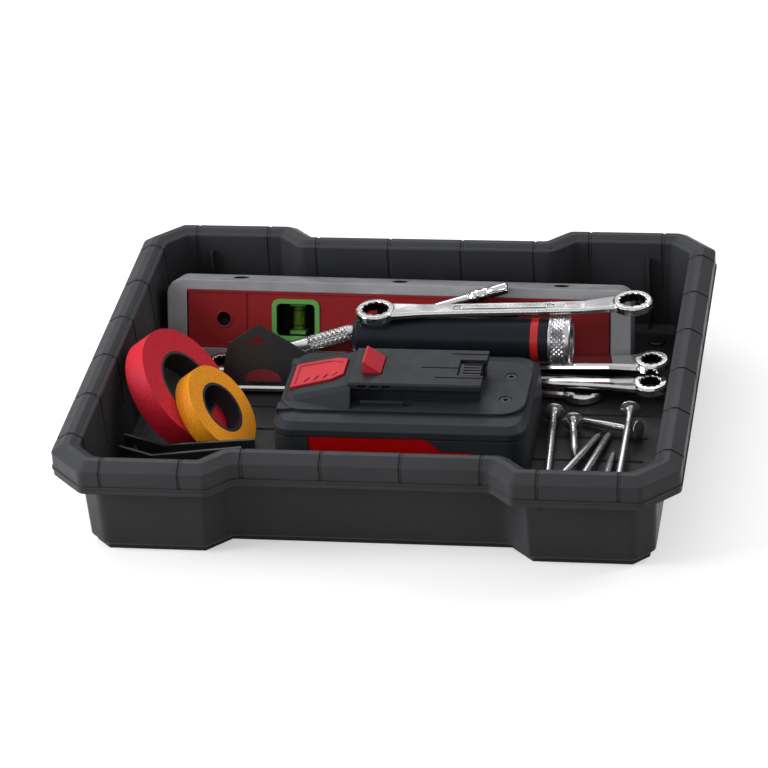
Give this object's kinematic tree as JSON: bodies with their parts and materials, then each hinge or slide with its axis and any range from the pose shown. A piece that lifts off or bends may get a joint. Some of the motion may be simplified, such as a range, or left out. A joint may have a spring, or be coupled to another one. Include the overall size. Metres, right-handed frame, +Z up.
{
  "type": "loaded tool tray",
  "caption": "Open charcoal lift-out tool tray with notched rim, loaded with a spirit level, torch, ring spanners, battery pack, tape rolls and nails.",
  "frame": {"origin": "middle of the tray's footprint on the plane that its base ring and feet stand on", "axes": "+X along the tray's long side to the viewer's right, +Y away from the viewer, +Z up"},
  "size_m": [0.2932, 0.2428, 0.0593],
  "materials": {
    "tray_plastic": "moulded charcoal plastic with fine grain",
    "foot_rubber": "soft black rubber",
    "screw_steel": "zinc-plated steel",
    "level_aluminium": "satin grey cast and milled aluminium",
    "level_panel_red": "satin deep red",
    "vial_frame_green": "satin green",
    "vial_green": "clear green liquid in acrylic",
    "tape_red": "speckled red winding",
    "tape_orange": "speckled orange winding",
    "core_black": "plain dark",
    "battery_charcoal": "fine-grained charcoal plastic",
    "battery_red": "satin red plastic",
    "battery_label_red": "plain dark red film with no print",
    "contact_block": "plain black plastic",
    "contact_metal": "bright contact metal",
    "cell_wrap": "shrink-wrapped cell",
    "torch_black": "blue-black anodised",
    "torch_red": "glossy red ring",
    "torch_silver": "knurled bright aluminium",
    "torch_glass": "dark glass",
    "chrome": "polished chrome plate",
    "plate_dark": "satin black",
    "plate_red": "dark red, plain",
    "bracket_steel": "dark grey sheet steel",
    "nail_steel": "bright wire nail steel"
  },
  "bodies": {
    "tray": {"tray_shell": "tray_plastic", "rubber_feet": "foot_rubber", "foot_screws": "screw_steel"},
    "level": {"level_beam": "level_aluminium", "level_panels": "level_panel_red", "level_vial_frames": "vial_frame_green", "level_vials": "vial_green"},
    "bar": {"bar_grip": "chrome", "bar_rod": "chrome", "bar_tip": "chrome"},
    "long_spanner": {"long_ring_spanner": "chrome"},
    "middle_spanner": {"middle_ring_spanner": "chrome"},
    "upper_spanner": {"upper_ring_spanner": "chrome"},
    "top_spanner": {"top_ring_spanner": "chrome"},
    "gable": {"gable_plate": "plate_dark", "gable_plate_inlay": "plate_red"},
    "torch": {"torch_barrel": "torch_black", "torch_accent_ring": "torch_red"},
    "torch_head": {"torch_bezel": "torch_silver", "torch_lens": "torch_glass"},
    "red_roll": {"red_tape": "tape_red", "red_tape_core": "core_black"},
    "orange_roll": {"orange_tape": "tape_orange", "orange_tape_core": "core_black"},
    "battery": {"battery_lower_shell": "battery_charcoal", "battery_upper_shell": "battery_charcoal", "battery_label_panel": "battery_label_red", "battery_terminal_block": "contact_block", "battery_contacts": "contact_metal", "battery_screws": "screw_steel", "battery_cells": "cell_wrap"},
    "battery_button": {"battery_release_button": "battery_red"},
    "battery_hook": {"battery_latch": "battery_red"},
    "brackets": {"bent_brackets": "bracket_steel"},
    "loose_nails": {"nails": "nail_steel"}
  },
  "joints": [
    {"name": "level_lift", "type": "slide", "parent": "tray", "child": "level", "axis": [0, 0, 1], "range_m": [0, 0.055]},
    {"name": "bar_lift", "type": "slide", "parent": "level", "child": "bar", "axis": [0, 0, 1], "range_m": [0, 0.047]},
    {"name": "long_spanner_lift", "type": "slide", "parent": "level", "child": "long_spanner", "axis": [0, 0, 1], "range_m": [0, 0.053]},
    {"name": "middle_spanner_lift", "type": "slide", "parent": "long_spanner", "child": "middle_spanner", "axis": [0, 0, 1], "range_m": [0, 0.05]},
    {"name": "gable_lift", "type": "slide", "parent": "middle_spanner", "child": "gable", "axis": [0, 0, 1], "range_m": [0, 0.05]},
    {"name": "upper_spanner_lift", "type": "slide", "parent": "middle_spanner", "child": "upper_spanner", "axis": [0, 0, 1], "range_m": [0, 0.045]},
    {"name": "torch_lift", "type": "slide", "parent": "upper_spanner", "child": "torch", "axis": [0, 0, 1], "range_m": [0, 0.041]},
    {"name": "torch_head_twist", "type": "hinge", "parent": "torch", "child": "torch_head", "pos_m": [0.0744, 0.0443, 0.0316], "axis": [1, 0, 0], "range_deg": [0, 90]},
    {"name": "top_spanner_lift", "type": "slide", "parent": "torch", "child": "top_spanner", "axis": [0, 0, 1], "range_m": [0, 0.02]},
    {"name": "red_roll_lift", "type": "slide", "parent": "tray", "child": "red_roll", "axis": [0, 0, 1], "range_m": [0, 0.055]},
    {"name": "orange_roll_lift", "type": "slide", "parent": "red_roll", "child": "orange_roll", "axis": [0, 0, 1], "range_m": [0, 0.055]},
    {"name": "battery_lift", "type": "slide", "parent": "tray", "child": "battery", "axis": [0, 0, 1], "range_m": [0, 0.055]},
    {"name": "battery_button_press", "type": "slide", "parent": "battery", "child": "battery_button", "axis": [0.2327, 0, -0.9725], "range_m": [0, 0.0025], "stiffness_N_per_m": 300, "springref_m": -0.001},
    {"name": "battery_hook_drop", "type": "slide", "parent": "battery", "child": "battery_hook", "axis": [0, 0, -1], "range_m": [0, 0.0035]},
    {"name": "brackets_lift", "type": "slide", "parent": "tray", "child": "brackets", "axis": [0, 0, 1], "range_m": [0, 0.055]},
    {"name": "nails_lift", "type": "slide", "parent": "tray", "child": "loose_nails", "axis": [0, 0, 1], "range_m": [0, 0.055]}
  ],
  "couplings": [
    {"joint": "battery_hook_drop", "follows": "battery_button_press", "ratio": 1.4}
  ]
}
